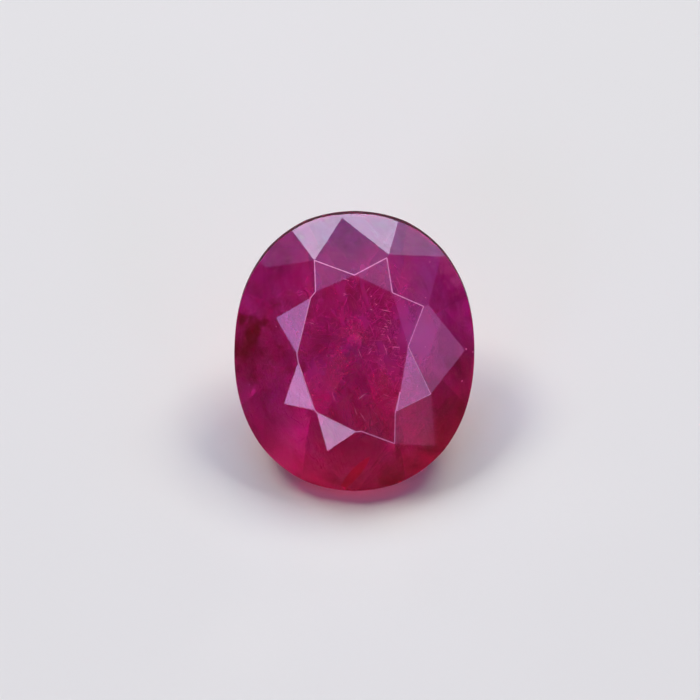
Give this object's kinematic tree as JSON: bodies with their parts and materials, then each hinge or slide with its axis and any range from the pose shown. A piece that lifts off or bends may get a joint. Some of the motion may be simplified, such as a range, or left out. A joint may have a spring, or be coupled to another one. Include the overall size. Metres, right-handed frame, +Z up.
{
  "type": "faceted oval ruby gemstone",
  "caption": "Cut and polished oval ruby: flat table, star, kite and girdle facets over a pointed pavilion, lying on one pavilion facet. For jewellery scenes, display or study.",
  "frame": {"origin": "bottom centre of the bounding box, on the pavilion facet that the stone lies on", "axes": "+Z up, away from the surface that the stone lies on; -Y towards the front, where the table leans; +X along the stone's width"},
  "size_m": [0.007, 0.0068, 0.0056],
  "materials": {
    "ruby": "polished facets on a see-through red stone clouded by fine silk"
  },
  "bodies": {
    "root": {"cut_ruby": "ruby"}
  },
  "joints": []
}
